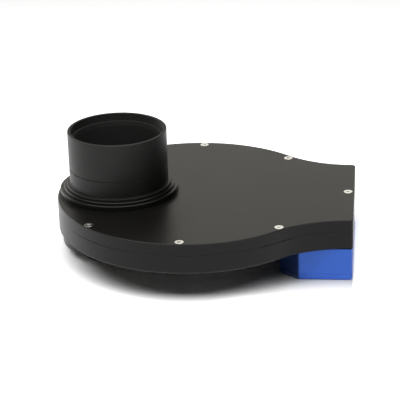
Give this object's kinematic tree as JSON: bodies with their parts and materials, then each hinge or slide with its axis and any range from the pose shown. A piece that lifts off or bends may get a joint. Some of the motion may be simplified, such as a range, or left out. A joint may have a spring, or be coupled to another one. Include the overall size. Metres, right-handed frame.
{
  "type": "optical filter wheel",
  "caption": "Motorised filter wheel: flat black housing with a round end and a narrow end, two inch nosepiece, toothed carousel of round filters and a blue drive housing below.",
  "frame": {"origin": "on the optical axis at the camera seat, the open end of the camera side thread, level with the underside of the drive housing", "axes": "+Z along the optical axis towards the telescope, +X from the optical axis through the carousel axis to the narrow drive end, +Y completes the right-handed set"},
  "size_m": [0.1526, 0.139, 0.0657],
  "materials": {
    "black_anodised": "bead-blasted black anodised aluminium, satin",
    "black_anodised_barrel": "fine turned black anodised aluminium, semi-gloss",
    "blue_anodised": "satin blue anodised aluminium",
    "stainless_screw": "bright stainless steel",
    "polished_steel": "ground bearing steel",
    "carousel_black": "matte black anodised aluminium",
    "magnet_nickel": "nickel plated magnet",
    "cell_black": "matte black anodised aluminium",
    "glass_luminance": "clear coated filter glass",
    "glass_red": "red interference filter glass",
    "glass_green": "green interference filter glass",
    "glass_blue": "blue interference filter glass",
    "glass_h_alpha": "narrow band filter glass, deep red",
    "glass_o_iii": "narrow band filter glass, teal",
    "glass_s_ii": "narrow band filter glass, dark red",
    "motor_steel": "drawn steel motor can",
    "pinion_brass": "machined brass",
    "board_green": "printed circuit board laminate with solder mask",
    "chip_black": "moulded chip package",
    "socket_plastic": "moulded black plastic",
    "socket_metal": "tinned steel shell"
  },
  "bodies": {
    "housing": {"top_cover": "black_anodised", "lower_housing": "black_anodised", "cover_screws": "stainless_screw", "nosepiece": "black_anodised_barrel", "top_ring": "black_anodised", "top_ring_screws": "stainless_screw", "camera_ring": "black_anodised", "camera_ring_screws": "stainless_screw", "carousel_post": "polished_steel", "bearing_inner_ring": "polished_steel", "post_washer": "stainless_screw", "post_screw": "stainless_screw", "gear_motor": "motor_steel", "motor_screws": "stainless_screw", "drive_housing": "blue_anodised", "drive_cover": "blue_anodised", "drive_cover_screws": "stainless_screw", "controller_board": "board_green", "board_screws": "stainless_screw", "usb_socket": "socket_metal", "power_socket": "socket_plastic", "board_chips": "chip_black", "sensor_board": "board_green", "hall_sensor": "chip_black"},
    "carousel": {"carousel": "carousel_black", "home_magnet": "magnet_nickel", "filter_retainers": "cell_black", "bearing_outer_ring": "polished_steel", "bearing_balls": "polished_steel", "bearing_cage": "pinion_brass", "cell_luminance": "cell_black", "cell_red": "cell_black", "cell_green": "cell_black", "cell_blue": "cell_black", "cell_h_alpha": "cell_black", "cell_o_iii": "cell_black", "cell_s_ii": "cell_black", "glass_luminance": "glass_luminance", "glass_red": "glass_red", "glass_green": "glass_green", "glass_blue": "glass_blue", "glass_h_alpha": "glass_h_alpha", "glass_o_iii": "glass_o_iii", "glass_s_ii": "glass_s_ii"},
    "pinion": {"motor_shaft": "polished_steel", "drive_pinion": "pinion_brass", "pinion_grub_screw": "stainless_screw"}
  },
  "joints": [
    {"name": "carousel_spin", "type": "hinge", "parent": "housing", "child": "carousel", "pos_m": [0.038, 0, 0], "axis": [0, 0, 1], "continuous": true},
    {"name": "pinion_spin", "type": "hinge", "parent": "housing", "child": "pinion", "pos_m": [0.104, 0, 0], "axis": [0, 0, 1], "continuous": true}
  ],
  "couplings": [
    {"joint": "pinion_spin", "follows": "carousel_spin", "ratio": -10}
  ]
}
